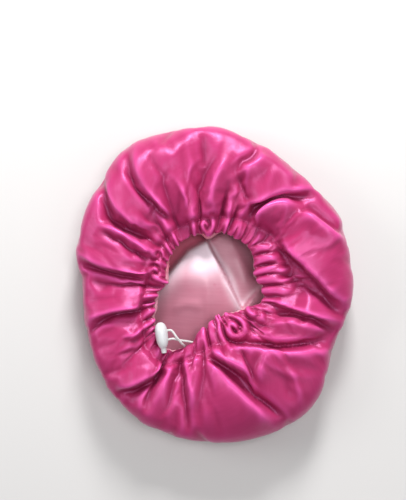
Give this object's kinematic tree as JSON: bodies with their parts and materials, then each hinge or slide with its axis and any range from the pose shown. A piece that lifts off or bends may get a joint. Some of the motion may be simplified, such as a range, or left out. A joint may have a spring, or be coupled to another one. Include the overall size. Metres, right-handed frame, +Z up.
{
  "type": "satin bonnet",
  "caption": "Round satin sleep bonnet lying on its crown: puffed bright outer layer, pale lining, gathered opening with a drawcord and an oval toggle.",
  "frame": {"origin": "the middle of the crown's underside, on the plane the bonnet lies on", "axes": "+Z up out of the opening, +Y to the top of the picture, +X to its right"},
  "size_m": [0.2246, 0.2568, 0.0449],
  "materials": {
    "satin_pink": "glossy polyester satin",
    "lining_pink": "glossy polyester satin, pale side",
    "cord_white": "matt knitted elastic",
    "toggle_white": "smooth moulded"
  },
  "bodies": {
    "root": {"outer_satin": "satin_pink", "lining": "lining_pink", "drawcord": "cord_white", "toggle": "toggle_white"}
  },
  "joints": []
}
